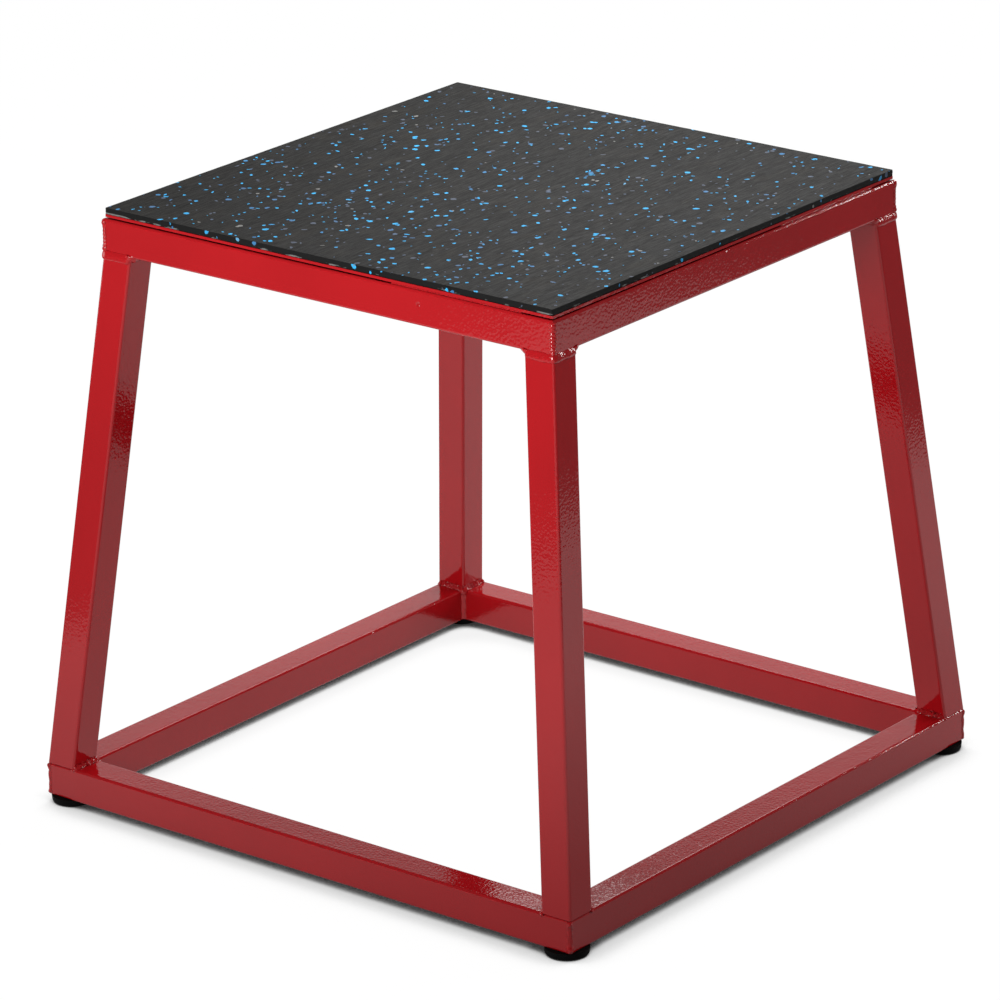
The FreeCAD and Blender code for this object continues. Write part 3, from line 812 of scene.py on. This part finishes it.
def fit_studs(zinc):
    """Threaded stud of each foot in place of its plain solid."""
    tree, keys = thread_tree(zinc)
    for corner in QUARTERS:
        low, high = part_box("foot_stud_" + corner)
        middle = (low + high) / 2
        flange, shank = (high.x - low.x) / 2, 3.5 * MM
        seat = low.z + 2 * MM
        edge, fillet, point = 0.3 * MM, 0.4 * MM, 0.7 * MM
        threaded, pitch = high.z - seat - 1.4 * MM, 1.25 * MM
        outline = ((0, low.z), (flange - edge, low.z), (flange, low.z + edge), (flange, seat - edge),
                   (flange - edge, seat), (shank + fillet, seat), (shank, seat + fillet),
                   (shank, high.z - point), (shank - point, high.z), (0, high.z))
        mesh = made_by_tree(turned_mesh("stud", outline, middle, 40), tree, keys, {
            "X": middle.x, "Y": middle.y, "Start": seat + 0.6 * MM, "Height": threaded,
            "Turns": threaded / pitch})
        fit("threaded_stud_" + corner, mesh, corner + "_foot", "zinc_plate", "foot_stud_" + corner)


def coat_solids(coat, pitted, foot, zinc, glue):
    """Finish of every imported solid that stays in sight."""
    for name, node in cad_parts.items():
        if name.startswith("foot_pad"):
            finish = foot
        elif name.startswith("foot_stud") or name == "foot_rivet_nuts":
            finish = zinc
        elif name == "mat_adhesive":
            finish = glue
        elif name == "deck_rail_front":
            finish = pitted
        else:
            finish = coat
        node.data.materials.clear()
        node.data.materials.append(finish)


# Studio

def seen_rays(tree):
    """Two values: 1 for rays that show a surface itself, and 1 for those that show its mirror image."""
    path = add(tree, "ShaderNodeLightPath").outputs
    mirrored = calc(tree, "MAXIMUM", path["Is Glossy Ray"], path["Is Transmission Ray"])
    return path["Is Camera Ray"], mirrored


def along(tree, place, way):
    """How far a place lies along a direction."""
    return add(tree, "ShaderNodeVectorMath", {0: place, 1: way}, operation="DOT_PRODUCT").outputs["Value"]


def contact_shade(tree, spot):
    """Shadow where the box stands: a dark line under the rails and a soft tail, longest outside the base."""
    line_reach, tail_reach, inner_band = 0.014, 0.05, 0.02
    close = add(tree, "ShaderNodeAmbientOcclusion", {"Distance": line_reach}, samples=12).outputs["AO"]
    wide = add(tree, "ShaderNodeAmbientOcclusion", {"Distance": tail_reach}, samples=12).outputs["AO"]
    line = remap(tree, close, 0.25, 0.58, 0.035, 1.0)
    tail = remap(tree, wide, 0.60, 0.77, 0.34, 0.0, smooth=False)
    outside = calc(tree, "MAXIMUM", spot["X"], calc(tree, "MULTIPLY", spot["Y"], -1.0))
    share = remap(tree, outside, BASE_HALF - inner_band, BASE_HALF, 0.33, 1.0)
    tail = calc(tree, "SUBTRACT", 1.0, calc(tree, "MULTIPLY", tail, share))
    return calc(tree, "MULTIPLY", line, tail)


def studio_floor():
    """White paper laid towards the camera, with the shadow where the box stands; clear from below."""
    mesh = bpy.data.meshes.new("studio_floor")
    corners = [(x * FLOOR_HALF, y * FLOOR_HALF, FLOOR_LEVEL) for x, y in ((-1, -1), (1, -1), (1, 1), (-1, 1))]
    mesh.from_pydata(corners, [], [(0, 1, 2, 3)])
    floor = bpy.data.objects.new("studio_floor", mesh)
    bpy.context.scene.collection.objects.link(floor)
    material = bpy.data.materials.new("studio_floor")
    material.use_nodes = True
    tree = material.node_tree
    tree.nodes.clear()
    shown, mirrored = seen_rays(tree)
    place = add(tree, "ShaderNodeTexCoord").outputs["Object"]
    spot = add(tree, "ShaderNodeSeparateXYZ", {0: place}).outputs
    from_shadow = add(tree, "ShaderNodeVectorMath", {0: place, 1: SHADOW_MIDDLE}, operation="DISTANCE")
    from_shadow = from_shadow.outputs["Value"]
    across = along(tree, place, VIEW_ACROSS)
    left = remap(tree, spot["X"], PAPER_LEFT - PAPER_EDGE, PAPER_LEFT + PAPER_EDGE, STUDIO_LEFT, 1.0)
    right = remap(tree, across, PAPER_RIGHT - PAPER_EDGE, PAPER_RIGHT + PAPER_EDGE, 1.0, STUDIO_RIGHT)
    paper = calc(tree, "MULTIPLY", calc(tree, "MINIMUM", left, right),
                 remap(tree, from_shadow, SHADOW_CORE, SHADOW_REACH, 0.42, 1.0, smooth=False))
    paper = calc(tree, "MAXIMUM", paper, shown)
    shade = contact_shade(tree, spot)
    glow, lit_share = 1.03, 0.04
    white = add(tree, "ShaderNodeEmission", {"Color": calc(tree, "MULTIPLY", paper, shade), "Strength": glow})
    lit = add(tree, "ShaderNodeBsdfDiffuse", {"Color": (0.9, 0.9, 0.9, 1)}).outputs["BSDF"]
    clean = add(tree, "ShaderNodeMixShader", {0: lit_share, 1: white.outputs["Emission"], 2: lit})
    # painted shade: the paper throws back less light the nearer it lies to the box's soft shadow
    bounce = remap(tree, from_shadow, SHADOW_CORE, SHADOW_REACH, 0.03, 0.85, smooth=False)
    paper_light = add(tree, "ShaderNodeBsdfDiffuse", {"Color": bounce}).outputs["BSDF"]
    seen = calc(tree, "MAXIMUM", shown, mirrored)
    surface = add(tree, "ShaderNodeMixShader", {0: seen, 1: paper_light, 2: clean.outputs["Shader"]})
    surface = surface.outputs["Shader"]
    below = add(tree, "ShaderNodeNewGeometry").outputs["Backfacing"]
    clear = add(tree, "ShaderNodeBsdfTransparent").outputs["BSDF"]
    surface = add(tree, "ShaderNodeMixShader", {0: below, 1: surface, 2: clear}).outputs["Shader"]
    add(tree, "ShaderNodeOutputMaterial", {"Surface": surface})
    mesh.materials.append(material)


def studio_world():
    """Paper swept up behind the box in a dark studio, with a soft plain light; white where the camera sees
    it."""
    world = bpy.data.worlds.new("studio")
    bpy.context.scene.world = world
    world.use_nodes = True
    tree = world.node_tree
    tree.nodes.clear()
    shown, mirrored = seen_rays(tree)
    way = add(tree, "ShaderNodeTexCoord").outputs["Generated"]
    height = add(tree, "ShaderNodeSeparateXYZ", {0: way}).outputs["Z"]
    behind = remap(tree, along(tree, way, VIEW_AWAY), 0.45, 0.75, 0.0, 1.0)
    # heights of a direction where the paper behind starts and ends to darken, and how dark it gets
    wall_low, wall_high, wall_dark = 0.352, 0.432, 0.12
    wall = remap(tree, height, wall_low, wall_high, 1.0, wall_dark, smooth=False)
    wall = calc(tree, "MULTIPLY", behind, wall)
    room = calc(tree, "MAXIMUM", wall, STUDIO_ROOM)
    room = calc(tree, "MAXIMUM", room, shown)
    backdrop = add(tree, "ShaderNodeBackground", {"Color": room, "Strength": 1.0}).outputs["Background"]
    soft = add(tree, "ShaderNodeBackground", {"Color": (1, 1, 1, 1), "Strength": SOFT_LIGHT})
    seen = calc(tree, "MAXIMUM", shown, mirrored)
    surface = add(tree, "ShaderNodeMixShader", {0: seen, 1: soft.outputs["Background"], 2: backdrop})
    add(tree, "ShaderNodeOutputWorld", {"Surface": surface.outputs["Shader"]})


def add_softbox(name, place, aim, width, height, watts, spread=180.0, width_way=None):
    """Rectangular soft light; a spread below 180 degrees is that of a grid before it, and its width may be
    laid along a direction."""
    light = bpy.data.lights.new(name, "AREA")
    light.shape = "RECTANGLE"
    light.size, light.size_y = width, height
    light.energy = watts
    light.spread = math.radians(spread)
    lamp = bpy.data.objects.new(name, light)
    lamp.location = place
    towards = (Vector(aim) - Vector(place)).normalized()
    if width_way is None:
        lamp.rotation_euler = towards.to_track_quat("-Z", "Y").to_euler()
    else:
        upright = (-towards).cross(Vector(width_way)).normalized()
        lamp.rotation_euler = Matrix((upright.cross(-towards), upright, -towards)).transposed().to_euler()
    lamp.visible_camera = False
    bpy.context.scene.collection.objects.link(lamp)


def add_edge_strips():
    """Strip lights far behind on the right: they light the right sides and draw the bright line on the deck's
    right edge."""
    cone = math.radians(STRIP_CONE)
    for number, angle in enumerate(STRIP_ANGLES):
        swing = math.radians(angle)
        way = Vector((math.sin(cone) * math.cos(swing), math.cos(cone), math.sin(cone) * math.sin(swing)))
        round_way = (-math.sin(swing), 0, math.cos(swing))
        add_softbox("strip_" + str(number), STRIP_AIM + STRIP_DISTANCE * way, STRIP_AIM, STRIP_LENGTH,
                    STRIP_WIDTH, STRIP_WATTS, width_way=round_way)


def add_camera():
    """Camera at the photo's view."""
    turn, rise, roll = (math.radians(angle) for angle in (VIEW_TURN, VIEW_RISE, VIEW_ROLL))
    back = Vector((math.sin(turn) * math.cos(rise), -math.cos(turn) * math.cos(rise), math.sin(rise)))
    level = Vector((math.cos(turn), math.sin(turn), 0))
    upright = back.cross(level)
    right = math.cos(roll) * level + math.sin(roll) * upright
    up = math.cos(roll) * upright - math.sin(roll) * level
    lens = bpy.data.cameras.new("photo_view")
    lens.lens = VIEW_LENS
    lens.sensor_width = 36.0
    lens.clip_start, lens.clip_end = 0.05, 100.0
    camera = bpy.data.objects.new("photo_view", lens)
    place = VIEW_TARGET + VIEW_DISTANCE * back
    camera.matrix_world = Matrix.Translation(place) @ Matrix((right, up, back)).transposed().to_4x4()
    bpy.context.scene.collection.objects.link(camera)
    bpy.context.scene.camera = camera


coat = red_coat("red_powder_coat", COAT_GLOSS, COAT_PEEL)
pitted = red_coat("red_powder_coat_pitted", COAT_GLOSS, COAT_PEEL, PIT_PLACE)
weld_coat = red_coat("red_coat_over_weld", WELD_GLOSS, WELD_PEEL)
zinc = zinc_plate()
coat_solids(coat, pitted, foot_rubber(), zinc, dried_glue())
lay_welds(weld_coat)
lay_mat()
fit_studs(zinc)

studio_floor()
studio_world()
for softbox in SOFTBOXES:
    add_softbox(*softbox)
add_edge_strips()
add_camera()

bpy.context.scene.view_settings.view_transform = "Standard"

bpy.context.view_layer.update()
